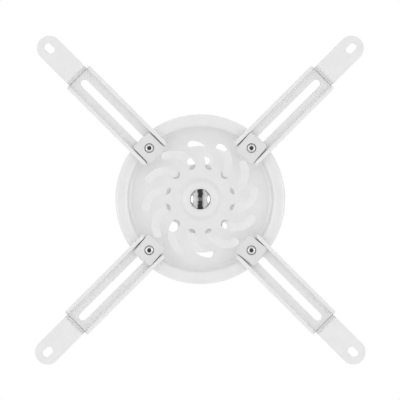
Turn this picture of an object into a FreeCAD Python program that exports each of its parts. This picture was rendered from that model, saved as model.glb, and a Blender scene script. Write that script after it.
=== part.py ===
# Projector ceiling mount: two pressed dishes, a neck with a ball joint, and four slotted arms.
# Millimetres, +Z up, origin at the centre of the face that lies against the ceiling.
import FreeCAD, Part
import Sketcher
import math
import os
import re

os.makedirs("parts", exist_ok=True)
doc = FreeCAD.newDocument("projector_ceiling_mount")

# Driving sizes
SIZES = [
    ("overall_height", 118, "ceiling face to the lower face of the arm tabs"),
    ("sheet_gauge", 1.8, "steel of both dishes"),
    ("recess_radius", 54.7, "upright wall of the recess"),
    ("flange_width", 9.4, "recess wall to the outside of the rim"),
    ("skirt_height", 5, "turned edge of a dish"),
    ("rim_round", 2.4, "bend of the turned edge"),
    ("mouth_round", 3.2, "bend from flange to recess wall"),
    ("floor_round", 3, "bend from recess wall to floor"),
    ("pad_offset", 1.3, "pad centre outside the recess wall"),
    ("hole_inset", 2, "screw hole inside the pad centre"),
    ("flare_radius", 6, "blend from a pad to the recess wall"),
    ("hub_radius", 16.3, "foot of the raised hub"),
    ("hub_slope", 3.5, "hub foot to hub crown, in plan"),
    ("hub_rise", 3.2, "hub crown above the floor"),
    ("hub_dish", 1.1, "fall from the crown to the hub hole"),
    ("hub_hole_radius", 7.8, "hole in the hub"),
    ("hub_round", 1.5, "bends of the hub"),
    ("swirl_count", 12, "curved cut-outs of the projector plate"),
    ("swirl_width", 6.4, "width of a curved cut-out"),
    ("swirl_hub_land", 10.4, "hub foot to the inner end centres"),
    ("swirl_rim_land", 12.8, "outer end centres to the recess wall"),
    ("swirl_start", 60, "angle of the first inner end"),
    ("swirl_sweep", 24, "angle from the inner end to the outer end"),
    ("swirl_curve", 0.7, "radius of the centre line over its chord"),
    ("arc_slot_width", 5.4, "arc slots of the ceiling plate"),
    ("arc_rim_land", 8.4, "outer arc slots to the recess wall"),
    ("arc_row_pitch", 14.3, "outer to inner arc slots"),
    ("outer_arc_half", 18, "half angle of an outer arc slot"),
    ("outer_arc_lean", 7, "turn of the outer arc slots"),
    ("inner_arc_half", 12, "half angle of the inner arc slot"),
    ("inner_arc_lean", 3, "turn of the inner arc slot"),
    ("short_arc_half", 2.7, "half angle of the short slot across from it"),
    ("tether_hole_radius", 4.2, "safety tether hole of the ceiling plate"),
    ("earth_hole_radius", 2.8, "earth screw hole of the ceiling plate"),
    ("earth_hole_reach", 29, "earth screw hole to the axis"),
    ("earth_hole_turn", 4, "earth screw hole round the axis"),
    ("ceiling_hole_radius", 2.75, "ceiling screw holes"),
    ("stud_radius", 5, "stud of the neck head"),
    ("running_gap", 0.06, "between a shaft and its bore"),
    ("bush_gap", 0.05, "between the bush and the hub"),
    ("bush_land", 0.3, "bush above the hub crown"),
    ("top_washer_radius", 14, "washer under the top nut"),
    ("top_washer_height", 1.5, "washer under the top nut"),
    ("top_nut_flats", 16, "across the flats"),
    ("top_nut_height", 5, "thin nut on the stud"),
    ("stud_overhang", 0.5, "stud end above its nut"),
    ("ceiling_clearance", 0.5, "stud end below the ceiling"),
    ("friction_washer_height", 1.5, "nylon ring between dish and neck"),
    ("neck_flange_land", 4.2, "hub foot to the edge of the neck flange"),
    ("neck_flange_height", 3.5, "flange of the neck head"),
    ("neck_boss_inset", 1.3, "boss inside the hub crown"),
    ("neck_boss_gap", 0.5, "boss below the bush"),
    ("turned_edge", 0.8, "bevels on turned pieces"),
    ("neck_radius", 16, "outside of the neck tube"),
    ("neck_wall", 2.5, "wall of the neck tube"),
    ("plug_gap", 0.05, "assembly gap of the plugs in the tube"),
    ("foot_flange", 2.5, "flange under the neck tube"),
    ("spigot_height", 10, "plugs inside the neck tube"),
    ("tilt_room", 6, "collar top to the nut above it"),
    ("ball_radius", 12, "ball of the ball stud"),
    ("ball_clearance", 0.15, "ball to the hub of the projector plate"),
    ("shank_radius", 6, "shank of the ball stud"),
    ("stud_nut_flats", 19, "across the flats"),
    ("stud_nut_height", 6, "nut that locks the ball stud"),
    ("liner_wall", 1.5, "nylon liner around the ball"),
    ("ball_gap", 0.08, "running gap on each side of the liner"),
    ("liner_low_angle", 19, "liner edge below the equator"),
    ("liner_high_angle", 36, "liner edge above the equator"),
    ("liner_slit", 2, "slit that lets the liner open"),
    ("cup_wall", 7.34, "ball cup, seat to thread"),
    ("cup_flange_land", 2.5, "foot flange round the ball cup"),
    ("cup_flange_height", 2, "foot flange of the ball cup"),
    ("cup_rise", 1.2, "cup top above the ball centre"),
    ("collar_gap", 0.15, "thread gap inside the collar"),
    ("collar_wall", 5.35, "locking collar round the thread"),
    ("collar_lift", 0.3, "collar foot above the cup flange"),
    ("collar_rise", 14, "collar top above the ball centre"),
    ("collar_taper_height", 7, "taper at the top of the collar"),
    ("collar_taper_width", 6, "taper at the top of the collar"),
    ("collar_mouth_angle", 38, "collar seat edge above the equator"),
    ("collar_flare_angle", 25, "flare of the collar mouth"),
    ("grip_count", 16, "finger grips round the collar"),
    ("grip_radius", 2.6, "radius of one grip"),
    ("grip_depth", 1.6, "depth of the finger grips"),
    ("arm_gauge", 3, "steel of the arms"),
    ("arm_width", 24.3, "across the lips of an arm"),
    ("lip_height", 9, "arm face to lip edge"),
    ("arm_bend", 1, "inside bend of an arm"),
    ("lip_corner", 4.5, "rounded corners of the lips"),
    ("lip_round", 1.3, "rounded edges of the lips"),
    ("arm_slot_width", 6, "long slot of an arm"),
    ("arm_slot_travel", 71, "between the end centres of the slot"),
    ("arm_end_land", 2.2, "slot to the inner end of the arm"),
    ("lip_end_land", 3.9, "slot to the outer end of the lips"),
    ("step_land", 0.1, "end of the lips to the first fold"),
    ("fold_bend", 1.2, "inside of the folds of the step"),
    ("tab_drop", 10.2, "step from arm to tab"),
    ("tab_width", 18.5, "width of the tab"),
    ("tab_reach", 27.6, "step to the tab hole"),
    ("tab_hole_length", 8.9, "tab hole, end to end"),
    ("tab_hole_width", 5.5, "tab hole"),
    ("short_reach", 1.9, "how much further in one pair of arms is set"),
    ("block_length", 18, "clamp block along the arm"),
    ("block_side_gap", 0.8, "clamp block to the lips of the arm"),
    ("block_floor", 2, "clamp block above the screw head"),
    ("block_corner", 2.2, "rounded corners of a clamp block"),
    ("block_edge", 0.8, "bevelled rim of a clamp block"),
    ("spigot_gap", 0.3, "block spigot in the arm slot"),
    ("screw_radius", 2, "clamp screws"),
    ("screw_hole_gap", 0.25, "clamp screw in the projector plate"),
    ("head_radius", 3.3, "head of a clamp screw"),
    ("head_height", 4, "head of a clamp screw"),
    ("head_round", 2.2, "domed rim of a clamp screw head"),
    ("head_gap", 0.3, "round the head of a clamp screw"),
    ("key_flats", 3, "hexagon recess in the head"),
    ("key_depth", 2.4, "hexagon recess in the head"),
    ("small_washer_radius", 4, "washer under a clamp nut"),
    ("small_washer_height", 0.8, "washer under a clamp nut"),
    ("small_washer_room", 0.2, "washer to the bend behind its pad"),
    ("small_nut_flats", 7, "across the flats"),
    ("small_nut_height", 3.2, "clamp nut"),
    ("screw_overhang", 0.8, "screw end above its nut"),
    ("screw_edge", 0.3, "bevelled end of a clamp screw"),
]

# Sizes and places worked out from the driving sizes; depths are below the ceiling
DERIVED = {
    "nut_stack": "bush_land + top_washer_height + top_nut_height + stud_overhang + ceiling_clearance",
    "dish_depth": "hub_rise + nut_stack",
    "floor_back": "dish_depth + sheet_gauge",
    "rim_radius": "recess_radius + flange_width",
    "lobe_centre": "recess_radius + pad_offset",
    "lobe_radius": "hole_inset + small_washer_radius + small_washer_room + mouth_round",
    "fixing_radius": "lobe_centre - hole_inset",
    "hub_crown_radius": "hub_radius - hub_slope",
    "swirl_inner": "hub_radius + swirl_hub_land",
    "swirl_outer": "recess_radius - swirl_rim_land",
    "swirl_out": "swirl_outer * cos(swirl_sweep) - swirl_inner",
    "swirl_chord": "sqrt(swirl_out ^ 2 + (swirl_outer * sin(swirl_sweep)) ^ 2)",
    "swirl_bow": "swirl_curve * swirl_chord",
    "outer_arc_radius": "recess_radius - arc_rim_land",
    "inner_arc_radius": "outer_arc_radius - arc_row_pitch",
    "clamp_hole_radius": "screw_radius + screw_hole_gap",
    "bush_top": "dish_depth - hub_rise - bush_land",
    "bush_radius": "hub_crown_radius - 0.6 * hub_round",
    "nut_seat": "bush_top - top_washer_height",
    "stud_end": "nut_seat - top_nut_height - stud_overhang",
    "neck_boss_radius": "hub_crown_radius - neck_boss_inset",
    "neck_boss_top": "floor_back - hub_rise + hub_dish + neck_boss_gap",
    "neck_flange_radius": "hub_radius + neck_flange_land",
    "neck_flange_top": "floor_back + friction_washer_height",
    "tube_head": "neck_flange_top + neck_flange_height",
    "tube_bore": "neck_radius - neck_wall",
    "pad_depth": "overall_height - arm_gauge - tab_drop",
    "plate_back": "pad_depth - dish_depth - sheet_gauge",
    "hub_edge": "pad_depth - dish_depth + hub_rise - hub_dish",
    "ball_room": "ball_radius + ball_clearance",
    "ball_depth": "hub_edge - sqrt(ball_room ^ 2 - hub_hole_radius ^ 2)",
    "tube_foot": "ball_depth - collar_rise - tilt_room - stud_nut_height",
    "liner_inside": "ball_radius + ball_gap",
    "liner_outside": "liner_inside + liner_wall",
    "seat_radius": "liner_outside + ball_gap",
    "cup_radius": "seat_radius + cup_wall",
    "cup_flange_radius": "cup_radius + cup_flange_land",
    "collar_bore": "cup_radius + collar_gap",
    "collar_radius": "collar_bore + collar_wall",
    "arm_margin": "arm_slot_width / 2 + arm_end_land",
    "lip_reach": "arm_slot_travel + arm_slot_width / 2 + lip_end_land",
    "step_reach": "lip_reach + step_land + fold_bend",
    "tab_hole_reach": "step_reach + tab_reach",
    "tab_end": "tab_hole_reach + tab_width / 2",
    "block_width": "arm_width - 2 * arm_gauge - 2 * block_side_gap",
    "block_height": "block_floor + head_height",
    "block_face": "pad_depth + arm_gauge + block_height",
    "washer_seat": "pad_depth - sheet_gauge",
    "small_nut_seat": "washer_seat - small_washer_height",
    "screw_end": "small_nut_seat - small_nut_height - screw_overhang",
}
sheet = doc.addObject("Spreadsheet::Sheet", "Sizes")
for row, (alias, size, note) in enumerate(SIZES, start=1):
    sheet.set(f"A{row}", alias)
    sheet.set(f"B{row}", str(size))
    sheet.set(f"C{row}", note)
    sheet.setAlias(f"B{row}", alias)
workings = doc.addObject("Spreadsheet::Sheet", "Workings")
doc.recompute()
ALIASES = {alias for alias, size, note in SIZES}


def spelled(formula):
    """Write a formula of size names as an expression on the sheet."""
    def one(match):
        word = match.group()
        if word in DERIVED:
            return "(" + spelled(DERIVED[word]) + ")"
        return "Sizes." + word if word in ALIASES else word
    return re.sub(r"[a-z][a-z_]*", one, formula)


def bind(item, prop, formula):
    item.setExpression(prop, spelled(formula))


def worked(formula):
    """The number that a formula gives now, to draw a sketch near its final form."""
    workings.set("A1", "=" + spelled(formula))
    workings.recompute()
    return float(workings.get("A1"))


# Sketches
def origin_part(body, role):
    return next(item for item in body.Origin.OriginFeatures if item.Role == role)


def sketch_on(body, name, role="XY_Plane", lift=None):
    """A sketch on one of the body's own planes, moved along the plane's normal by a formula."""
    sketch = body.newObject("Sketcher::SketchObject", name)
    sketch.AttachmentSupport = [(origin_part(body, role), "")]
    sketch.MapMode = "FlatFace"
    if lift:
        bind(sketch, "AttachmentOffset.Base.z", lift)
    return sketch


def measure(sketch, kind, formula, *where):
    index = sketch.addConstraint(Sketcher.Constraint(kind, *where, worked(formula)))
    bind(sketch, f"Constraints[{index}]", formula)


def hold(sketch, geometry, point, x, y):
    """Fix a point of the sketch at a place given by two formulas; "0" puts it on an axis."""
    for kind, axis, formula in (("DistanceX", -2, x), ("DistanceY", -1, y)):
        if formula == "0":
            sketch.addConstraint(Sketcher.Constraint("PointOnObject", geometry, point, axis))
        else:
            measure(sketch, kind, formula, -1, 1, geometry, point)


def spot(x, y):
    return FreeCAD.Vector(worked(x), worked(y), 0)


def ring(centre, radius):
    return Part.Circle(centre, FreeCAD.Vector(0, 0, 1), radius)


def arc(centre, radius, first, last):
    """An arc that runs counter-clockwise from one point to another."""
    angles = [math.atan2(point.y - centre.y, point.x - centre.x) for point in (first, last)]
    return Part.ArcOfCircle(ring(centre, radius), *angles)


def circle(body, name, radius, lift=None, x="0", y="0"):
    sketch = sketch_on(body, name, lift=lift)
    sketch.addGeometry(ring(spot(x, y), worked(radius)))
    hold(sketch, 0, 3, x, y)
    measure(sketch, "Radius", radius, 0)
    return sketch


def polygon(body, name, corners, role="XZ_Plane", lift=None):
    """A closed outline of straight lines whose corners are pairs of formulas."""
    sketch = sketch_on(body, name, role, lift)
    spots = [spot(x, y) for x, y in corners]
    count = len(corners)
    for i in range(count):
        sketch.addGeometry(Part.LineSegment(spots[i], spots[(i + 1) % count]))
    for i in range(count):
        sketch.addConstraint(Sketcher.Constraint("Coincident", i, 2, (i + 1) % count, 1))
    for i, (x, y) in enumerate(corners):
        hold(sketch, i, 1, x, y)
    return sketch


def lens(body, name, lobe, wall, lift=None):
    """The overlap of a pad's circle and a circle about the dish axis."""
    sketch = sketch_on(body, name, lift=lift)
    inner, outer, centre = worked(lobe), worked(wall), worked("lobe_centre")
    across = (outer ** 2 - inner ** 2 + centre ** 2) / (2 * centre)
    rise = math.sqrt(outer ** 2 - across ** 2)
    top, foot = FreeCAD.Vector(across, rise, 0), FreeCAD.Vector(across, -rise, 0)
    sketch.addGeometry(arc(FreeCAD.Vector(centre, 0, 0), inner, top, foot))
    sketch.addGeometry(arc(FreeCAD.Vector(0, 0, 0), outer, foot, top))
    sketch.addConstraint(Sketcher.Constraint("Coincident", 0, 1, 1, 2))
    sketch.addConstraint(Sketcher.Constraint("Coincident", 0, 2, 1, 1))
    sketch.addConstraint(Sketcher.Constraint("Coincident", 1, 3, -1, 1))
    hold(sketch, 0, 3, "lobe_centre", "0")
    measure(sketch, "Radius", lobe, 0)
    measure(sketch, "Radius", wall, 1)
    return sketch


def bent_slot(body, name, start, end, bow, width):
    """A slot of even width whose centre line bends counter-clockwise from start to end."""
    sketch = sketch_on(body, name)
    first, last = spot(*start), spot(*end)
    radius, half = worked(bow), worked(width) / 2
    chord = last - first
    side = FreeCAD.Vector(-chord.y, chord.x, 0).normalize()
    centre = first + chord / 2 + side * math.sqrt(radius ** 2 - chord.Length ** 2 / 4)
    out_first = (first - centre).normalize()
    out_last = (last - centre).normalize()
    outer_a, outer_b = first + out_first * half, last + out_last * half
    inner_a, inner_b = first - out_first * half, last - out_last * half
    sketch.addGeometry(arc(centre, radius + half, outer_a, outer_b))
    sketch.addGeometry(arc(last, half, outer_b, inner_b))
    sketch.addGeometry(arc(centre, radius - half, inner_a, inner_b))
    sketch.addGeometry(arc(first, half, inner_a, outer_a))
    for one, one_end, other, other_end in ((0, 2, 1, 1), (1, 2, 2, 2), (2, 1, 3, 1), (3, 2, 0, 1)):
        sketch.addConstraint(Sketcher.Constraint("Tangent", one, one_end, other, other_end))
    hold(sketch, 3, 3, *start)
    hold(sketch, 1, 3, *end)
    measure(sketch, "Radius", f"{bow} + {width} / 2", 0)
    measure(sketch, "Radius", f"{width} / 2", 1)
    measure(sketch, "Radius", f"{bow} - {width} / 2", 2)
    measure(sketch, "Radius", f"{width} / 2", 3)
    return sketch


def straight_slot(body, name, start, end, width):
    """A slot along X between two end centres."""
    sketch = sketch_on(body, name)
    left, right, half = spot(start, "0"), spot(end, "0"), worked(width) / 2
    up = FreeCAD.Vector(0, half, 0)
    sketch.addGeometry(Part.LineSegment(left - up, right - up))
    sketch.addGeometry(arc(right, half, right - up, right + up))
    sketch.addGeometry(Part.LineSegment(right + up, left + up))
    sketch.addGeometry(arc(left, half, left + up, left - up))
    for one, other in ((0, 1), (1, 2), (2, 3), (3, 0)):
        sketch.addConstraint(Sketcher.Constraint("Tangent", one, 2, other, 1))
    hold(sketch, 3, 3, start, "0")
    hold(sketch, 1, 3, end, "0")
    measure(sketch, "Radius", f"{width} / 2", 1)
    measure(sketch, "Radius", f"{width} / 2", 3)
    return sketch


# Features
def new_body(label):
    body = doc.addObject("PartDesign::Body", label)
    body.Label = label
    return body


def extrusion(kind, body, sketch, length, reverse):
    feature = body.newObject("PartDesign::" + kind, sketch.Name + "_" + kind.lower())
    feature.Profile = sketch
    feature.Reversed = reverse
    if length is None:
        feature.Type = "ThroughAll"
    else:
        bind(feature, "Length", length)
    return feature


def pad(body, sketch, length, along=True):
    """Add material along the sketch's normal, or against it."""
    return extrusion("Pad", body, sketch, length, not along)


def pocket(body, sketch, length=None, along=False):
    """Cut against the sketch's normal, or along it; with no length, right through."""
    return extrusion("Pocket", body, sketch, length, along)


def turned(body, sketch, kind="Revolution"):
    """A profile in the XZ plane turned about Z, as material or as a groove."""
    feature = body.newObject("PartDesign::" + kind, sketch.Name + "_" + kind.lower())
    feature.Profile = sketch
    feature.ReferenceAxis = (sketch, ["V_Axis"])
    feature.Angle = 360
    return feature


def repeated(body, name, features, count):
    pattern = body.newObject("PartDesign::PolarPattern", name)
    pattern.Originals = features
    pattern.Axis = (origin_part(body, "Z_Axis"), [""])
    pattern.Angle = 360
    bind(pattern, "Occurrences", count)
    body.Tip = pattern
    return pattern


def ball(body, name, radius, kind="Additive", height="-ball_depth"):
    """A sphere on the Z axis, as material or as a hollow, by default about the ball joint's centre."""
    feature = body.newObject(f"PartDesign::{kind}Sphere", name)
    bind(feature, "Radius", radius)
    bind(feature, "Placement.Base.z", height)
    return feature


def dressed(body, name, kind, prop, size, wanted):
    """Round or bevel the edges of the body that a test picks out."""
    doc.recompute()
    base = body.Tip
    edges = [f"Edge{i}" for i, edge in enumerate(base.Shape.Edges, start=1) if wanted(edge)]
    feature = body.newObject("PartDesign::" + kind, name)
    feature.Base = (base, edges)
    bind(feature, prop, size)
    return feature


def rounded(body, name, radius, wanted):
    return dressed(body, name, "Fillet", "Radius", radius, wanted)


def bevelled(body, name, size, wanted):
    return dressed(body, name, "Chamfer", "Size", size, wanted)


# Tests on edges
CLOSE = 0.01


def near(one, other):
    return abs(one - other) < CLOSE


def middle(edge):
    return edge.valueAt((edge.FirstParameter + edge.LastParameter) / 2)


def from_axis(edge):
    point = middle(edge)
    return math.hypot(point.x, point.y)


def flat_at(edge, height):
    return edge.BoundBox.ZLength < CLOSE and near(edge.BoundBox.ZMin, height)


def upright(edge):
    box = edge.BoundBox
    return box.XLength < CLOSE and box.YLength < CLOSE and box.ZLength > CLOSE


# Dishes, drawn with the flange face at the origin and the recess below it
def pressed_dish(label):
    """The stamping that both dishes start from: rim, recess, four pads and hub."""
    body = new_body(label)
    pad(body, circle(body, label + "_rim", "rim_radius"), "skirt_height", along=False)
    inside = circle(body, label + "_skirt", "rim_radius - sheet_gauge", lift="-skirt_height")
    pocket(body, inside, "skirt_height - sheet_gauge", along=True)
    pad(body, circle(body, label + "_cup", "recess_radius + sheet_gauge"), "floor_back", along=False)
    pocket(body, circle(body, label + "_recess", "recess_radius"), "dish_depth")
    lobe = pad(body, lens(body, label + "_lobe", "lobe_radius", "recess_radius + sheet_gauge / 2"),
               "floor_back", along=False)
    behind = lens(body, label + "_lobe_back", "lobe_radius - sheet_gauge",
                  "(recess_radius + rim_radius) / 2", lift="-floor_back")
    hollow = pocket(body, behind, "dish_depth", along=True)
    repeated(body, label + "_lobes", [lobe, hollow], "4")

    wall = worked("recess_radius")
    gauge = worked("sheet_gauge")
    depth = worked("dish_depth")
    rim = worked("rim_radius")
    rounded(body, label + "_flares", "flare_radius",
            lambda edge: upright(edge) and near(from_axis(edge), wall))
    rounded(body, label + "_back_flares", "flare_radius + sheet_gauge",
            lambda edge: upright(edge) and near(from_axis(edge), wall + gauge))
    rounded(body, label + "_mouth", "mouth_round",
            lambda edge: flat_at(edge, 0) and from_axis(edge) < wall + CLOSE)
    rounded(body, label + "_floor", "floor_round", lambda edge: flat_at(edge, -depth))
    rounded(body, label + "_back_floor", "floor_round + sheet_gauge",
            lambda edge: flat_at(edge, -depth - gauge))
    rounded(body, label + "_back_mouth", "mouth_round - sheet_gauge",
            lambda edge: flat_at(edge, -gauge) and from_axis(edge) < wall + gauge + CLOSE)
    rounded(body, label + "_edge", "rim_round", lambda edge: flat_at(edge, 0) and near(from_axis(edge), rim))
    rounded(body, label + "_back_edge", "rim_round - sheet_gauge",
            lambda edge: flat_at(edge, -gauge) and near(from_axis(edge), rim - gauge))
    hub(body, label)
    return body


def hub(body, label):
    """A raised ring with a dished centre, the back following the front."""
    front = [
        ("0", "-floor_back"),
        ("hub_radius", "-floor_back"),
        ("hub_radius", "-dish_depth"),
        ("hub_crown_radius", "hub_rise - dish_depth"),
        ("hub_hole_radius", "hub_rise - dish_depth - hub_dish"),
        ("0", "hub_rise - dish_depth - hub_dish"),
    ]
    back = [
        ("0", "-floor_back - sheet_gauge"),
        ("hub_radius - 0.4 * sheet_gauge", "-floor_back - sheet_gauge"),
        ("hub_radius - 0.4 * sheet_gauge", "-floor_back"),
        ("hub_crown_radius - 0.4 * sheet_gauge", "hub_rise - floor_back"),
        ("hub_hole_radius", "hub_rise - floor_back - hub_dish"),
        ("0", "hub_rise - floor_back - hub_dish"),
    ]
    turned(body, polygon(body, label + "_hub", front))
    turned(body, polygon(body, label + "_hub_back", back), "Groove")
    pocket(body, circle(body, label + "_hub_hole", "hub_hole_radius"))
    foot = worked("hub_radius")
    crown = worked("hub_crown_radius")
    depth = worked("dish_depth")
    rise = worked("hub_rise")
    rounded(body, label + "_hub_bends", "hub_round",
            lambda edge: (flat_at(edge, -depth) and near(from_axis(edge), foot))
            or (flat_at(edge, rise - depth) and near(from_axis(edge), crown)))


def screw_holes(body, label, radius):
    hole = pocket(body, circle(body, label + "_hole", radius, x="fixing_radius"))
    repeated(body, label + "_holes", [hole], "4")


def polar(radius, angle):
    return f"{radius} * cos({angle})", f"{radius} * sin({angle})"


def ceiling_plate():
    """Screwed to the ceiling: its flange lies against the ceiling and its floor hangs below."""
    label = "ceiling_plate"
    body = pressed_dish(label)
    screw_holes(body, label, "ceiling_hole_radius")
    arcs = (("outer", "outer_arc_radius", "(225 + outer_arc_lean)", "outer_arc_half"),
            ("outer_far", "outer_arc_radius", "(45 - outer_arc_lean)", "outer_arc_half"),
            ("inner", "inner_arc_radius", "(225 - inner_arc_lean)", "inner_arc_half"),
            ("short", "inner_arc_radius", "45", "short_arc_half"))
    for name, radius, centre, half in arcs:
        pocket(body, bent_slot(body, f"{label}_{name}_arc", polar(radius, f"{centre} - {half}"),
                               polar(radius, f"{centre} + {half}"), radius, "arc_slot_width"))
    pocket(body, circle(body, label + "_tether_hole", "tether_hole_radius", y="inner_arc_radius"))
    earth_x, earth_y = polar("earth_hole_reach", "earth_hole_turn")
    pocket(body, circle(body, label + "_earth_hole", "earth_hole_radius", x=earth_x, y=earth_y))
    return body


def projector_plate():
    """The same stamping turned over, pierced with a ring of curved cut-outs."""
    label = "projector_plate"
    body = pressed_dish(label)
    screw_holes(body, label, "clamp_hole_radius")
    ball(body, label + "_ball_room", "ball_room", "Subtractive", "ball_depth - pad_depth")
    swirl = bent_slot(body, label + "_swirl", polar("swirl_inner", "swirl_start"),
                      polar("swirl_outer", "(swirl_start + swirl_sweep)"), "swirl_bow", "swirl_width")
    repeated(body, label + "_swirls", [pocket(body, swirl)], "swirl_count")
    body.Placement.Rotation = FreeCAD.Rotation(FreeCAD.Vector(1, 0, 0), 180)
    bind(body, "Placement.Base.z", "-pad_depth")
    return body



# Neck and swivel, drawn in place
def lathed(label, corners):
    """A body of revolution about Z."""
    body = new_body(label)
    turned(body, polygon(body, label + "_profile", corners))
    return body


def washer(label, bore, radius, foot, height):
    top = f"{foot} + {height}"
    return lathed(label, [(bore, foot), (radius, foot), (radius, top), (bore, top)])


def hexagon(body, name, flats, lift):
    side = f"{flats} / 2 * tan(30)"
    corners = [
        ("0", f"2 * {side}"), (f"-{flats} / 2", side), (f"-{flats} / 2", f"-{side}"),
        ("0", f"-2 * {side}"), (f"{flats} / 2", f"-{side}"), (f"{flats} / 2", side),
    ]
    return polygon(body, name, corners, "XY_Plane", lift)


def hex_nut(label, flats, bore, foot, height):
    """A plain nut on the Z axis, its corners bevelled at both ends."""
    body = new_body(label)
    pad(body, hexagon(body, label + "_hexagon", flats, foot), height)
    pocket(body, circle(body, label + "_bore", bore, foot), height, along=True)
    bevel = f"0.15 * {flats} * tan(30)"
    for end, face, inward in (("low", foot, "+"), ("high", f"{foot} + {height}", "-")):
        reach = f"0.65 * {flats}"
        corners = [(f"{flats} / 2", face), (reach, face), (reach, f"{face} {inward} {bevel}")]
        turned(body, polygon(body, f"{label}_{end}_bevel", corners), "Groove")
    return body


def hub_face(radius):
    """Height of the ceiling plate's dished hub at a radius."""
    slope = "hub_dish / (hub_crown_radius - hub_hole_radius)"
    return f"hub_rise - dish_depth - (hub_crown_radius - {radius}) * {slope}"


def swivel_bush():
    bore, barrel = "stud_radius + running_gap", "hub_hole_radius - bush_gap"
    foot = "hub_rise - hub_dish - floor_back"
    return lathed("swivel_bush", [
        (bore, "-bush_top"), ("bush_radius", "-bush_top"), ("bush_radius", hub_face("bush_radius")),
        (barrel, hub_face("(" + barrel + ")")), (barrel, foot), (bore, foot),
    ])


def neck_head():
    """Stud, boss, flange and the spigot that fills the top of the tube, in one turned piece."""
    label = "neck_head"
    spigot = "tube_bore - plug_gap"
    body = lathed(label, [
        ("0", "-stud_end"), ("stud_radius", "-stud_end"), ("stud_radius", "-neck_boss_top"),
        ("neck_boss_radius", "-neck_boss_top"), ("neck_boss_radius", "-neck_flange_top"),
        ("neck_flange_radius", "-neck_flange_top"), ("neck_flange_radius", "-tube_head"),
        (spigot, "-tube_head"), (spigot, "-tube_head - spigot_height"), ("0", "-tube_head - spigot_height"),
    ])
    rims = (("stud_radius", "-stud_end"), ("neck_boss_radius", "-neck_boss_top"),
            ("neck_flange_radius", "-tube_head"), (spigot, "-tube_head - spigot_height"))
    places = [(worked(radius), worked(height)) for radius, height in rims]

    def at_a_rim(edge):
        return any(near(from_axis(edge), radius) and flat_at(edge, height) for radius, height in places)

    bevelled(body, label + "_bevels", "turned_edge", at_a_rim)
    return body


def neck_foot():
    """A flanged plug that closes the tube and carries the ball stud."""
    plug, bore = "tube_bore - plug_gap", "shank_radius + running_gap"
    top = "foot_flange + spigot_height - tube_foot"
    body = lathed("neck_foot", [
        (bore, "-tube_foot"), ("neck_radius", "-tube_foot"), ("neck_radius", "foot_flange - tube_foot"),
        (plug, "foot_flange - tube_foot"), (plug, top), (bore, top),
    ])
    foot = worked("-tube_foot")
    bevelled(body, "neck_foot_edge", "turned_edge",
             lambda edge: flat_at(edge, foot) and near(from_axis(edge), worked("neck_radius")))
    return body


def neck_tube():
    bore = "tube_bore"
    return lathed("neck_tube", [
        (bore, "-tube_head"), ("neck_radius", "-tube_head"),
        ("neck_radius", "foot_flange - tube_foot"), (bore, "foot_flange - tube_foot"),
    ])


# Ball joint, drawn in place about the ball's centre
def ball_stud():
    label = "ball_stud"
    body = new_body(label)
    ball(body, label + "_ball", "ball_radius")
    reach = "ball_depth - tube_foot + foot_flange + spigot_height + stud_overhang"
    pad(body, circle(body, label + "_shank", "shank_radius", lift="-ball_depth"), reach)
    end = worked(f"{reach} - ball_depth")
    bevelled(body, label + "_end", "turned_edge", lambda edge: flat_at(edge, end))
    return body


def ball_liner():
    """A split spherical band that the ball turns in."""
    label = "ball_liner"
    body = new_body(label)
    band = ball(body, label + "_band", "liner_outside")
    bind(band, "Angle1", "-liner_low_angle")
    bind(band, "Angle2", "liner_high_angle")
    ball(body, label + "_inside", "liner_inside", "Subtractive")
    low, high = "-ball_depth - liner_outside", "liner_outside - ball_depth"
    side = "liner_slit / 2"
    slit = [("-" + side, low), (side, low), (side, high), ("-" + side, high)]
    pocket(body, polygon(body, label + "_slit", slit, "YZ_Plane"), along=True)
    return body


def ball_cup():
    """The lower half of the socket, on the back of the projector plate."""
    label = "ball_cup"
    ledge = "cup_flange_height - plate_back"
    body = lathed(label, [
        ("liner_wall", "-plate_back"), ("cup_flange_radius", "-plate_back"), ("cup_flange_radius", ledge),
        ("cup_radius", ledge), ("cup_radius", "cup_rise - ball_depth"),
        ("liner_wall", "cup_rise - ball_depth"),
    ])
    ball(body, label + "_seat", "seat_radius", "Subtractive")
    return body


def locking_collar():
    """The upper half of the socket, with finger grips round it."""
    label = "locking_collar"
    foot = "cup_flange_height - plate_back + collar_lift"
    ledge = "cup_rise + collar_gap - ball_depth"
    mouth = "seat_radius * cos(collar_mouth_angle)"
    throat = "seat_radius * sin(collar_mouth_angle)"
    body = lathed(label, [
        ("collar_bore", foot), ("collar_radius", foot),
        ("collar_radius", "collar_rise - collar_taper_height - ball_depth"),
        ("collar_radius - collar_taper_width", "collar_rise - ball_depth"),
        (f"{mouth} + (collar_rise - {throat}) * tan(collar_flare_angle)", "collar_rise - ball_depth"),
        (mouth, f"{throat} - ball_depth"), (mouth, ledge), ("collar_bore", ledge),
    ])
    ball(body, label + "_seat", "seat_radius", "Subtractive")
    top = worked("collar_rise - ball_depth")
    shoulder = worked("collar_radius - collar_taper_width")
    bevelled(body, label + "_top", "turned_edge",
             lambda edge: flat_at(edge, top) and near(from_axis(edge), shoulder))
    grip = circle(body, label + "_grip", "grip_radius", x="collar_radius + grip_radius - grip_depth")
    repeated(body, label + "_grips", [pocket(body, grip)], "grip_count")
    return body


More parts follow.
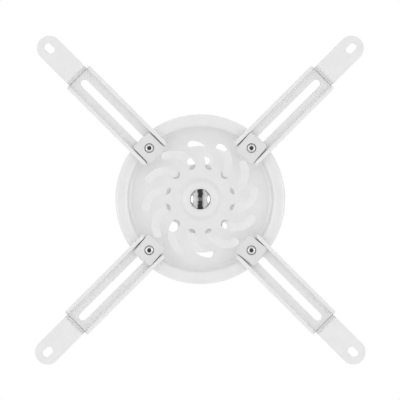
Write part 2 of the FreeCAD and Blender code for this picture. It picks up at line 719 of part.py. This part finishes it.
# Arms and their clamps, drawn at the origin and put in place
def slotted_arm(label, turn, inset):
    """A channel with a long slot and a stepped end tab; x runs outward from the slot's inner end."""
    body = new_body(label)
    half = "arm_width / 2"
    channel = [(f"-{half}", "0"), (f"-{half}", "-lip_height"), (half, "-lip_height"), (half, "0")]
    pad(body, polygon(body, label + "_channel", channel, "YZ_Plane", "-arm_margin"), "arm_margin + lip_reach")
    wall = "(arm_width / 2 - arm_gauge)"
    inside = [(f"-{wall}", "-arm_gauge"), (f"-{wall}", "-lip_height"),
              (wall, "-lip_height"), (wall, "-arm_gauge")]
    pocket(body, polygon(body, label + "_inside", inside, "YZ_Plane", "-arm_margin"), along=True)
    out, floor, lip = worked(half), worked("arm_gauge"), worked("lip_height")
    rounded(body, label + "_back_bends", "arm_bend + arm_gauge",
            lambda edge: flat_at(edge, 0) and near(abs(middle(edge).y), out))
    rounded(body, label + "_inside_bends", "arm_bend",
            lambda edge: flat_at(edge, -floor) and near(abs(middle(edge).y), out - floor))
    rounded(body, label + "_lip_corners", "lip_corner",
            lambda edge: flat_at(edge, -lip) and edge.BoundBox.XLength < CLOSE)
    rounded(body, label + "_lip_rounds", "lip_round",
            lambda edge: flat_at(edge, -lip) and edge.BoundBox.YLength < CLOSE)
    step = [
        ("lip_reach", "0"), ("step_reach + arm_gauge", "0"),
        ("step_reach + arm_gauge", "-tab_drop"), ("tab_end", "-tab_drop"),
        ("tab_end", "-tab_drop - arm_gauge"), ("step_reach", "-tab_drop - arm_gauge"),
        ("step_reach", "-arm_gauge"), ("lip_reach", "-arm_gauge"),
    ]
    tongue = pad(body, polygon(body, label + "_step", step), "tab_width")
    tongue.Midplane = True
    riser, drop = worked("step_reach"), worked("tab_drop")

    def across(edge, x, z):
        return flat_at(edge, z) and edge.BoundBox.XLength < CLOSE and near(middle(edge).x, x)

    rounded(body, label + "_outer_folds", "fold_bend + arm_gauge",
            lambda edge: across(edge, riser + floor, 0) or across(edge, riser, -drop - floor))
    rounded(body, label + "_inner_folds", "fold_bend",
            lambda edge: across(edge, riser, -floor) or across(edge, riser + floor, -drop))
    end = worked("tab_end")
    rounded(body, label + "_tab_round", "tab_width / 2 - plug_gap",
            lambda edge: upright(edge) and near(middle(edge).x, end))
    pocket(body, straight_slot(body, label + "_slot", "0", "arm_slot_travel", "arm_slot_width"))
    reach = "(tab_hole_length - tab_hole_width) / 2"
    pocket(body, straight_slot(body, label + "_tab_hole", f"tab_hole_reach - {reach}",
                               f"tab_hole_reach + {reach}", "tab_hole_width"))
    put(body, turn, inset)
    return body


def put(body, turn, inset, twist=0):
    """Set a piece out from the axis at one of the four fixings, under the projector plate."""
    body.Placement.Rotation = FreeCAD.Rotation(FreeCAD.Vector(0, 0, 1), turn + twist)
    bind(body, "Placement.Base.x", f"(fixing_radius - {inset}) * cos({turn})")
    bind(body, "Placement.Base.y", f"(fixing_radius - {inset}) * sin({turn})")
    bind(body, "Placement.Base.z", "-pad_depth")


def clamp_block(label, turn, twist):
    """A block that runs in the channel of an arm, with a spigot in its slot."""
    body = new_body(label)
    x, y = "block_length / 2", "block_width / 2"
    outline = [(x, y), (f"-{x}", y), (f"-{x}", f"-{y}"), (x, f"-{y}")]
    face = polygon(body, label + "_outline", outline, "XY_Plane", "-arm_gauge")
    pad(body, face, "block_height", along=False)
    rounded(body, label + "_corners", "block_corner", upright)
    bevelled(body, label + "_edges", "block_edge", lambda edge: edge.BoundBox.ZLength < CLOSE)
    spigot = circle(body, label + "_spigot", "arm_slot_width / 2 - spigot_gap", lift="-arm_gauge")
    pad(body, spigot, "arm_gauge - spigot_gap")
    pocket(body, circle(body, label + "_bore", "screw_radius + running_gap"))
    pocket(body, circle(body, label + "_counterbore", "head_radius + head_gap",
                        lift="-arm_gauge - block_height"), "head_height", along=True)
    put(body, turn, "0", twist)
    return body


def clamp_screw(label):
    """A socket-head screw on the Z axis, its head flush with the clamp block."""
    body = new_body(label)
    foot = "-block_face"
    pad(body, circle(body, label + "_head", "head_radius", lift=foot), "head_height")
    pad(body, circle(body, label + "_shank", "screw_radius", lift=foot), "block_face - screw_end")
    face, end = worked(foot), worked("-screw_end")
    rounded(body, label + "_dome", "head_round", lambda edge: flat_at(edge, face))
    bevelled(body, label + "_end", "screw_edge", lambda edge: flat_at(edge, end))
    pocket(body, hexagon(body, label + "_socket", "key_flats", foot), "key_depth", along=True)
    return body


def four_of(label, piece):
    """The same piece at each of the four fixings."""
    copies = []
    for quarter in range(4):
        copy = doc.addObject("App::Link", f"{label}_{quarter + 1}")
        copy.LinkedObject = piece
        bind(copy, "Placement.Base.x", f"fixing_radius * cos(90 * {quarter})")
        bind(copy, "Placement.Base.y", f"fixing_radius * sin(90 * {quarter})")
        copies.append(copy)
    group = doc.addObject("Part::Compound", label)
    group.Links = copies
    return group


# The pieces
nodes = [
    ceiling_plate(),
    swivel_bush(),
    washer("friction_washer", "hub_radius", "neck_flange_radius",
           "-neck_flange_top", "friction_washer_height"),
    washer("top_washer", "stud_radius + running_gap", "top_washer_radius", "-bush_top", "top_washer_height"),
    hex_nut("top_nut", "top_nut_flats", "stud_radius + running_gap", "-nut_seat", "top_nut_height"),
    neck_head(),
    neck_tube(),
    neck_foot(),
    ball_stud(),
    hex_nut("stud_nut", "stud_nut_flats", "shank_radius + running_gap",
            "-tube_foot - stud_nut_height", "stud_nut_height"),
    ball_liner(),
    ball_cup(),
    locking_collar(),
    projector_plate(),
]
for side, turn, inset, twist in (("right", 0, "0", -7), ("back", 90, "0", -5),
                                 ("left", 180, "short_reach", 0), ("front", 270, "short_reach", -5)):
    nodes.append(slotted_arm("arm_" + side, turn, inset))
    nodes.append(clamp_block("clamp_block_" + side, turn, twist))
screw = clamp_screw("screw_pattern")
small_washer = washer("washer_pattern", "screw_radius + running_gap", "small_washer_radius",
                      "-washer_seat", "small_washer_height")
small_nut = hex_nut("nut_pattern", "small_nut_flats", "screw_radius + running_gap",
                    "-small_nut_seat", "small_nut_height")
for label, pattern in (("clamp_screws", screw), ("clamp_washers", small_washer), ("clamp_nuts", small_nut)):
    nodes.append(four_of(label, pattern))

doc.recompute()
for item in doc.Objects:
    if "Invalid" in item.State or "Error" in item.State:
        raise RuntimeError(f"{item.Name} did not build: {item.State}")
for node in nodes:
    if node.Shape.isNull() or not node.Shape.isValid():
        raise RuntimeError(f"{node.Label} has no valid shape")
for node in nodes:
    node.Shape.exportStep(f"parts/{node.Label}.step")
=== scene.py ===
import math

import bpy
from mathutils import Matrix, Vector


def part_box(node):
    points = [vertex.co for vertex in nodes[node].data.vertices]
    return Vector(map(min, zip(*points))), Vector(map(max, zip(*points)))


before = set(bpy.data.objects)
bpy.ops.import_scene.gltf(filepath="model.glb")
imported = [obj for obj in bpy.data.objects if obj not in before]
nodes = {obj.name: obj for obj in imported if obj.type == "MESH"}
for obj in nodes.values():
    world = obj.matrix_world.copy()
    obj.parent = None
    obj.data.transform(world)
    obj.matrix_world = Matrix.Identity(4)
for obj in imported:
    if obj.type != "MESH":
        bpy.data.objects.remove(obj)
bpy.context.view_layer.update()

MM = 0.001
PLATE_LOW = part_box("arm_right")[0].z
SCREW_HEAD = 3.3 * MM         # radius of a clamp screw's head
SCREW_HEAD_HEIGHT = 4 * MM
SOCKET_SHADE_RADIUS = 1.9 * MM       # radius of the painted shade over a socket, a little wider than the recess
SOCKET_SHADE_START = 0.3 * MM        # the painted shade starts this far above the head's lowest point
SCREW_THREAD = (0.7 * MM, 0.15 * MM)     # pitch and depth
STUD_THREAD = (1.75 * MM, 0.35 * MM)
BALL_AND_NECK = 25.5 * MM     # lowest point of the ball to the start of its thread


# Node helpers
class Graph:
    """A material's node tree, with short calls that add and join nodes."""

    def __init__(self, name):
        self.material = bpy.data.materials.new(name)
        self.material.use_nodes = True
        self.tree = self.material.node_tree
        self.shader = self.tree.nodes["Principled BSDF"]
        self.place = self.tree.nodes.new("ShaderNodeTexCoord").outputs["Object"]

    def add(self, kind, **settings):
        node = self.tree.nodes.new("ShaderNode" + kind)
        for name, value in settings.items():
            setattr(node, name, value)
        return node

    def join(self, source, target):
        self.tree.links.new(source, target)

    def noise(self, size, detail=2.0, roughness=0.5, stretch=(1, 1, 1)):
        """Noise with features about size across."""
        mapping = self.add("Mapping")
        mapping.inputs["Scale"].default_value = stretch
        self.join(self.place, mapping.inputs["Vector"])
        node = self.add("TexNoise")
        node.inputs["Scale"].default_value = 1 / size
        node.inputs["Detail"].default_value = detail
        node.inputs["Roughness"].default_value = roughness
        self.join(mapping.outputs["Vector"], node.inputs["Vector"])
        return node.outputs["Fac"]

    def steps(self, source, *stops):
        """Grey levels or colours at given places of a source."""
        node = self.add("ValToRGB")
        elements = node.color_ramp.elements
        while len(elements) < len(stops):
            elements.new(1)
        for stop, (place, level) in zip(elements, stops):
            stop.position = place
            stop.color = (*level, 1) if isinstance(level, tuple) else (level, level, level, 1)
        self.join(source, node.inputs["Fac"])
        return node.outputs["Color"]

    def ramp(self, source, low, high, start=0.3, end=0.7):
        return self.steps(source, (start, low), (end, high))

    def maths(self, operation, *values):
        node = self.add("Math", operation=operation)
        for value, socket in zip(values, node.inputs):
            if isinstance(value, (int, float)):
                socket.default_value = value
            else:
                self.join(value, socket)
        return node.outputs[0]

    def bump(self, height, depth, strength, normal=None):
        node = self.add("Bump")
        node.inputs["Distance"].default_value = depth
        node.inputs["Strength"].default_value = strength
        self.join(height, node.inputs["Height"])
        if normal:
            self.join(normal, node.inputs["Normal"])
        return node.outputs["Normal"]

    def soft_edges(self, radius):
        node = self.add("Bevel", samples=8)
        node.inputs["Radius"].default_value = radius
        return node.outputs["Normal"]

    def part(self, axis):
        """X, Y or Z of a point in the part's own frame."""
        node = self.add("SeparateXYZ")
        self.join(self.place, node.inputs[0])
        return node.outputs[axis]

    def thread(self, pitch, low, high):
        """The crests of an upright screw thread between two heights."""
        z = self.part("Z")
        wave = self.maths("SINE", self.maths("MULTIPLY", z, math.tau / pitch))
        inside = self.maths("MULTIPLY", self.maths("GREATER_THAN", z, low), self.maths("LESS_THAN", z, high))
        return self.maths("MULTIPLY", wave, inside)

    def screw_socket_shade(self, reach, radius, face):
        """Mask for painted shade: 1 in the sockets of the four clamp screws, whose axes stand at a reach along X and
        Y.
        """
        x, y = self.maths("ABSOLUTE", self.part("X")), self.maths("ABSOLUTE", self.part("Y"))
        out = self.maths("SUBTRACT", self.maths("MAXIMUM", x, y), reach)
        aside = self.maths("MINIMUM", x, y)
        square = self.maths("ADD", self.maths("MULTIPLY", out, out), self.maths("MULTIPLY", aside, aside))
        near = self.maths("LESS_THAN", square, radius ** 2)
        return self.maths("MULTIPLY", near, self.maths("GREATER_THAN", self.part("Z"), face))


def powder_coat(name, shade, grain, edge):
    """Baked powder paint: a fine orange peel and a faint mottle."""
    graph = Graph(name)
    dull = tuple(0.965 * level for level in shade)
    graph.join(graph.ramp(graph.noise(9 * MM, 3), dull, shade), graph.shader.inputs["Base Color"])
    graph.join(graph.ramp(graph.noise(4 * MM, 2), 0.34, 0.44), graph.shader.inputs["Roughness"])
    peel = graph.bump(graph.noise(grain, 1.5), 0.06 * MM, 0.35, graph.soft_edges(edge))
    graph.join(graph.bump(graph.noise(0.25 * grain, 1), 0.015 * MM, 0.3, peel), graph.shader.inputs["Normal"])
    graph.shader.inputs["Specular IOR Level"].default_value = 0.45
    return graph.material


def polished(name, thread, thread_foot, thread_top):
    """Chrome with the faintest lapping marks, threaded between two heights."""
    pitch, depth = thread
    graph = Graph(name)
    graph.shader.inputs["Metallic"].default_value = 1
    tone = graph.ramp(graph.noise(3 * MM, 3), (0.60, 0.60, 0.61), (0.68, 0.68, 0.69))
    graph.join(tone, graph.shader.inputs["Base Color"])
    graph.join(graph.ramp(graph.noise(1.5 * MM, 4, 0.6, (1, 1, 6)), 0.04, 0.09), graph.shader.inputs["Roughness"])
    marks = graph.bump(graph.noise(0.8 * MM, 2), 0.01 * MM, 0.15)
    crests = graph.bump(graph.thread(pitch, thread_foot, thread_top), depth, 1, marks)
    graph.join(crests, graph.shader.inputs["Normal"])
    return graph.material


def plated(name, dark, light, edge):
    """Bright zinc on turned or rolled steel: cloudy tone and fine tool marks."""
    graph = Graph(name)
    graph.shader.inputs["Metallic"].default_value = 1
    graph.join(graph.ramp(graph.noise(2.5 * MM, 4, 0.6), dark, light), graph.shader.inputs["Base Color"])
    graph.join(graph.ramp(graph.noise(1.2 * MM, 3), 0.42, 0.58), graph.shader.inputs["Roughness"])
    marks = graph.bump(graph.noise(0.6 * MM, 3, 0.6, (1, 1, 5)), 0.02 * MM, 0.4, graph.soft_edges(edge))
    graph.join(marks, graph.shader.inputs["Normal"])
    return graph


def plated_screws(name, dark, light, edge, thread):
    """The same on the clamp screws, with their threads and with painted shade darkening their sockets."""
    pitch, depth = thread
    graph = plated(name, dark, light, edge)
    low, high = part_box("clamp_screws")
    graph.shader.inputs["Metallic"].default_value = 0.4
    tone = graph.shader.inputs["Base Color"].links[0].from_socket
    # Painted shade: over each socket the base colour falls to 0.16 of its tone, on a disc a little wider than the
    # recess
    socket = graph.screw_socket_shade(high.x - SCREW_HEAD, SOCKET_SHADE_RADIUS, low.z + SOCKET_SHADE_START)
    shaded = graph.add("VectorMath", operation="MULTIPLY")
    graph.join(tone, shaded.inputs[0])
    graph.join(graph.steps(socket, (0, 1.0), (1, 0.16)), shaded.inputs[1])
    graph.join(shaded.outputs["Vector"], graph.shader.inputs["Base Color"])
    marks = graph.shader.inputs["Normal"].links[0].from_socket
    crests = graph.bump(graph.thread(pitch, low.z + SCREW_HEAD_HEIGHT, high.z), depth, 1, marks)
    graph.join(crests, graph.shader.inputs["Normal"])
    return graph


def nylon(name):
    """Unpainted nylon, a little translucent."""
    graph = Graph(name)
    tone = graph.ramp(graph.noise(5 * MM, 3), (0.66, 0.65, 0.60), (0.74, 0.73, 0.69))
    graph.join(tone, graph.shader.inputs["Base Color"])
    graph.join(graph.ramp(graph.noise(2 * MM, 3), 0.38, 0.52), graph.shader.inputs["Roughness"])
    skin = graph.bump(graph.noise(0.5 * MM, 2), 0.02 * MM, 0.3, graph.soft_edges(0.2 * MM))
    graph.join(skin, graph.shader.inputs["Normal"])
    graph.shader.inputs["Subsurface Weight"].default_value = 0.15
    graph.shader.inputs["Subsurface Radius"].default_value = (1, 0.9, 0.8)
    graph.shader.inputs["Subsurface Scale"].default_value = 1 * MM
    return graph.material


WHITE = (0.86, 0.86, 0.86)
pressed_steel = powder_coat("pressed_steel", WHITE, 1.1 * MM, 0.35 * MM)
cast_metal = powder_coat("cast_metal", (0.78, 0.78, 0.78), 0.8 * MM, 0.3 * MM)
stud_low, stud_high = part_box("ball_stud")
chrome = polished("chrome_ball", STUD_THREAD, stud_low.z + BALL_AND_NECK, stud_high.z)
zinc = plated("zinc_plate", (0.44, 0.44, 0.45), (0.56, 0.56, 0.56), 0.15 * MM).material
screw_zinc = plated_screws("screw_zinc", (0.84, 0.84, 0.84), (0.90, 0.90, 0.90), 0.15 * MM, SCREW_THREAD).material
natural_nylon = nylon("natural_nylon")

MATERIALS = {
    pressed_steel: ("ceiling_plate", "projector_plate", "neck_head", "neck_tube", "neck_foot", "ball_cup",
                    "arm_right", "arm_back", "arm_left", "arm_front"),
    cast_metal: ("locking_collar", "clamp_block_right", "clamp_block_back", "clamp_block_left", "clamp_block_front"),
    chrome: ("ball_stud",),
    zinc: ("top_washer", "top_nut", "stud_nut", "clamp_washers", "clamp_nuts"),
    screw_zinc: ("clamp_screws",),
    natural_nylon: ("swivel_bush", "friction_washer", "ball_liner"),
}
for material, names in MATERIALS.items():
    for name in names:
        nodes[name].data.materials.clear()
        nodes[name].data.materials.append(material)


# Studio: four weak soft boxes round the mount, a large one behind the camera and one above, four small
# lamps inside the mount, white surroundings and a pale floor
UP_IN_PHOTO = Vector((-1, -1, 0)).normalized()
RIGHT_IN_PHOTO = Vector((1, -1, 0)).normalized()
DOWN = Vector((0, 0, -1))
PHOTO_SIDE = 400                 # pixels
PHOTO_CENTRE = (200.35, 199.2)   # pixel where the mount's axis meets the picture
METRES_PER_PIXEL = 0.744 * MM    # at the arms' tabs
CAMERA_DISTANCE = 1.05           # below the tabs
SENSOR = 36
AMBIENT = (0.64, 1.07)           # strength at the horizon and overhead


def soft_box(name, place, target, size, power):
    lamp = bpy.data.lights.new(name, "AREA")
    lamp.shape = "RECTANGLE"
    lamp.size, lamp.size_y = size
    lamp.energy = power
    holder = bpy.data.objects.new(name, lamp)
    holder.location = place
    holder.rotation_euler = (target - place).to_track_quat("-Z", "Y").to_euler()
    holder.visible_camera = False
    holder.visible_glossy = False
    bpy.context.scene.collection.objects.link(holder)
    return holder


target = Vector((0, 0, PLATE_LOW))
BOX_REACH = 1.4
BOX_ANGLE = math.radians(85)     # from straight down
FILL_REACH = 0.045
FILL_HEIGHT = -0.075
FILL_POWER = 0.003
for name, aside, power in (("left", -RIGHT_IN_PHOTO, 0.8), ("right", RIGHT_IN_PHOTO, 0.8),
                           ("top", UP_IN_PHOTO, 1.6), ("bottom", -UP_IN_PHOTO, 1.6)):
    way = math.sin(BOX_ANGLE) * aside + math.cos(BOX_ANGLE) * DOWN
    soft_box("box_" + name, target + BOX_REACH * way, target, (0.6, 0.6), power)
    # inside the mount, facing up, so that the ceiling plate is as light as the plate below it
    place = FILL_REACH * aside + FILL_HEIGHT * -DOWN
    soft_box("fill_" + name, place, place - DOWN, (0.03, 0.03), FILL_POWER)
soft_box("box_front", target + 2.1 * DOWN, target, (3.0, 3.0), 9.7)
soft_box("box_above", Vector((0.3, -0.4, 1.6)), target, (1.6, 1.6), 1.5)


def seen_directly(tree):
    """1 for rays that the camera, a reflection or a see-through part sends, 0 for the light itself."""
    path = tree.nodes.new("ShaderNodeLightPath")
    level = path.outputs["Is Camera Ray"]
    for name in ("Is Glossy Ray", "Is Transmission Ray"):
        most = tree.nodes.new("ShaderNodeMath")
        most.operation = "MAXIMUM"
        tree.links.new(level, most.inputs[0])
        tree.links.new(path.outputs[name], most.inputs[1])
        level = most.outputs[0]
    return level


def stage_sheet(name, rows, material):
    """A sheet through rows of points."""
    wide = len(rows[0])
    faces = [(i * wide + j, i * wide + j + 1, (i + 1) * wide + j + 1, (i + 1) * wide + j)
             for i in range(len(rows) - 1) for j in range(wide - 1)]
    mesh = bpy.data.meshes.new(name)
    mesh.from_pydata([point for row in rows for point in row], [], faces)
    mesh.materials.append(material)
    sheet = bpy.data.objects.new(name, mesh)
    bpy.context.scene.collection.objects.link(sheet)
    return sheet


# White all round for the camera, softer light for the surfaces, most of it from overhead
world = bpy.data.worlds.new("studio")
world.use_nodes = True
bpy.context.scene.world = world
ambient = world.node_tree.nodes["Background"]
ambient.inputs["Color"].default_value = (1, 1, 1, 1)
way = world.node_tree.nodes.new("ShaderNodeTexCoord")
parts = world.node_tree.nodes.new("ShaderNodeSeparateXYZ")
overhead = world.node_tree.nodes.new("ShaderNodeMapRange")
world.node_tree.links.new(way.outputs["Generated"], parts.inputs[0])
world.node_tree.links.new(parts.outputs["Z"], overhead.inputs["Value"])
for name, level in zip(("To Min", "To Max"), AMBIENT):
    overhead.inputs[name].default_value = level
world.node_tree.links.new(overhead.outputs["Result"], ambient.inputs["Strength"])
shown = world.node_tree.nodes.new("ShaderNodeBackground")
shown.inputs["Color"].default_value = (1, 1, 1, 1)
shown.inputs["Strength"].default_value = 1
choice = world.node_tree.nodes.new("ShaderNodeMixShader")
for source, socket in ((seen_directly(world.node_tree), choice.inputs[0]), (ambient.outputs[0], choice.inputs[1]),
                       (shown.outputs[0], choice.inputs[2]),
                       (choice.outputs[0], world.node_tree.nodes["World Output"].inputs["Surface"])):
    world.node_tree.links.new(source, socket)

# The floor lies far below; it looks white, with a trace of the object's shadow
FLOOR_DEPTH = 2.4
FLOOR_HALF = 60.0
floor_graph = Graph("floor")
floor_graph.join(floor_graph.ramp(floor_graph.noise(0.4, 3), 0.84, 0.86), floor_graph.shader.inputs["Base Color"])
floor_graph.shader.inputs["Roughness"].default_value = 0.8
glow = floor_graph.add("Emission")
glow.inputs["Color"].default_value = (1, 1, 1, 1)
glow.inputs["Strength"].default_value = 1
share = floor_graph.add("Math", operation="MULTIPLY")
share.inputs[1].default_value = 0.8
mixed = floor_graph.add("MixShader")
for source, socket in ((seen_directly(floor_graph.tree), share.inputs[0]), (share.outputs[0], mixed.inputs[0]),
                       (floor_graph.shader.outputs[0], mixed.inputs[1]), (glow.outputs[0], mixed.inputs[2]),
                       (mixed.outputs[0], floor_graph.tree.nodes["Material Output"].inputs["Surface"])):
    floor_graph.join(source, socket)
stage_sheet("floor", [[Vector((x, y, -FLOOR_DEPTH)) for x in (-FLOOR_HALF, FLOOR_HALF)]
                      for y in (-FLOOR_HALF, FLOOR_HALF)], floor_graph.material)

# Sheets that only reflections show: a strip that bends round under the object, dark along its middle,
# and a bright card on either side
def glow_only(graph, level, strength=1.0):
    graph.shader.inputs["Base Color"].default_value = (0, 0, 0, 1)
    graph.shader.inputs["Roughness"].default_value = 1
    graph.join(level, graph.shader.inputs["Emission Color"])
    graph.shader.inputs["Emission Strength"].default_value = strength
    return graph.material


def reflected_only(sheet):
    for ray in ("camera", "diffuse", "shadow", "transmission", "volume_scatter"):
        setattr(sheet, "visible_" + ray, False)


def along(graph, direction):
    """Distance of a point along a direction of the room."""
    node = graph.add("VectorMath", operation="DOT_PRODUCT")
    graph.join(graph.place, node.inputs[0])
    node.inputs[1].default_value = direction
    return node.outputs["Value"]


STRIP_RADIUS = 1.0
STRIP_REACH = 80                 # degrees to either side of straight down
STRIP_HALF = 1.19                # half of its width
STRIP_STEPS = 24
STRIP_LEVELS = ((0.19, 0.05), (0.29, 0.74), (0.6, 0.98), (1.0, 1.0))    # from its middle to its edge
MIDDLE_LEVELS = ((0.14, 0.24), (0.3, 0.0))      # the lighter patch half-way along it
strip_graph = Graph("dark_strip")
sway = strip_graph.maths("MULTIPLY_ADD", strip_graph.noise(0.35, 2), 0.5, -0.25)
aside = strip_graph.maths("ABSOLUTE", strip_graph.maths("ADD", along(strip_graph, RIGHT_IN_PHOTO), sway))
band = strip_graph.steps(strip_graph.maths("DIVIDE", aside, STRIP_HALF), *STRIP_LEVELS)
middle_share = strip_graph.steps(strip_graph.maths("ABSOLUTE", along(strip_graph, UP_IN_PHOTO)), *MIDDLE_LEVELS)
level = strip_graph.maths("MAXIMUM", band, middle_share)
rows = []
for step in range(STRIP_STEPS + 1):
    angle = math.radians(STRIP_REACH * (step / (STRIP_STEPS / 2) - 1))
    middle = target + STRIP_RADIUS * (math.sin(angle) * UP_IN_PHOTO + math.cos(angle) * DOWN)
    rows.append([middle - STRIP_HALF * RIGHT_IN_PHOTO, middle + STRIP_HALF * RIGHT_IN_PHOTO])
reflected_only(stage_sheet("dark_strip", rows, glow_only(strip_graph, level)))

CARD_ASIDE = 1.2                 # from the mount's axis
CARD_DEPTH = 0.57                # below the tabs
CARD_HALVES = (0.8, 0.24)        # half of its length and of its height
CARD_LEVEL = 12.0
CARD_FADE = ((0.0, 1.0), (0.15, 0.5), (0.4, 0.15), (1.0, 0.0))      # from its middle to its edge
for name, side in (("card_left", -RIGHT_IN_PHOTO), ("card_right", RIGHT_IN_PHOTO)):
    card_graph = Graph(name)
    middle = target + CARD_ASIDE * side + CARD_DEPTH * DOWN
    out = card_graph.maths("MULTIPLY_ADD", card_graph.noise(0.3, 2), 0.2, -0.1)
    for direction, half in zip((UP_IN_PHOTO, DOWN), CARD_HALVES):
        place = along(card_graph, direction)
        part_out = card_graph.maths("MULTIPLY_ADD", place, 1 / half, -middle.dot(direction) / half)
        out = card_graph.maths("MULTIPLY_ADD", part_out, part_out, out)
    level = card_graph.steps(out, *CARD_FADE)
    rows = [[middle + height * UP_IN_PHOTO + depth * DOWN for depth in (-CARD_HALVES[1], CARD_HALVES[1])]
            for height in (-CARD_HALVES[0], CARD_HALVES[0])]
    reflected_only(stage_sheet(name, rows, glow_only(card_graph, level, CARD_LEVEL)))

# Camera straight below, its top towards the photograph's top
lens = bpy.data.cameras.new("camera")
lens.sensor_width = SENSOR
lens.lens = SENSOR * CAMERA_DISTANCE / (PHOTO_SIDE * METRES_PER_PIXEL)
lens.shift_x = (PHOTO_SIDE / 2 - PHOTO_CENTRE[0]) / PHOTO_SIDE
lens.shift_y = (PHOTO_CENTRE[1] - PHOTO_SIDE / 2) / PHOTO_SIDE
camera = bpy.data.objects.new("camera", lens)
camera.matrix_world = Matrix.Translation((0, 0, PLATE_LOW - CAMERA_DISTANCE)) @ Matrix(
    (RIGHT_IN_PHOTO, UP_IN_PHOTO, DOWN)).transposed().to_4x4()
bpy.context.scene.collection.objects.link(camera)
bpy.context.scene.camera = camera
bpy.context.scene.view_settings.view_transform = "Standard"
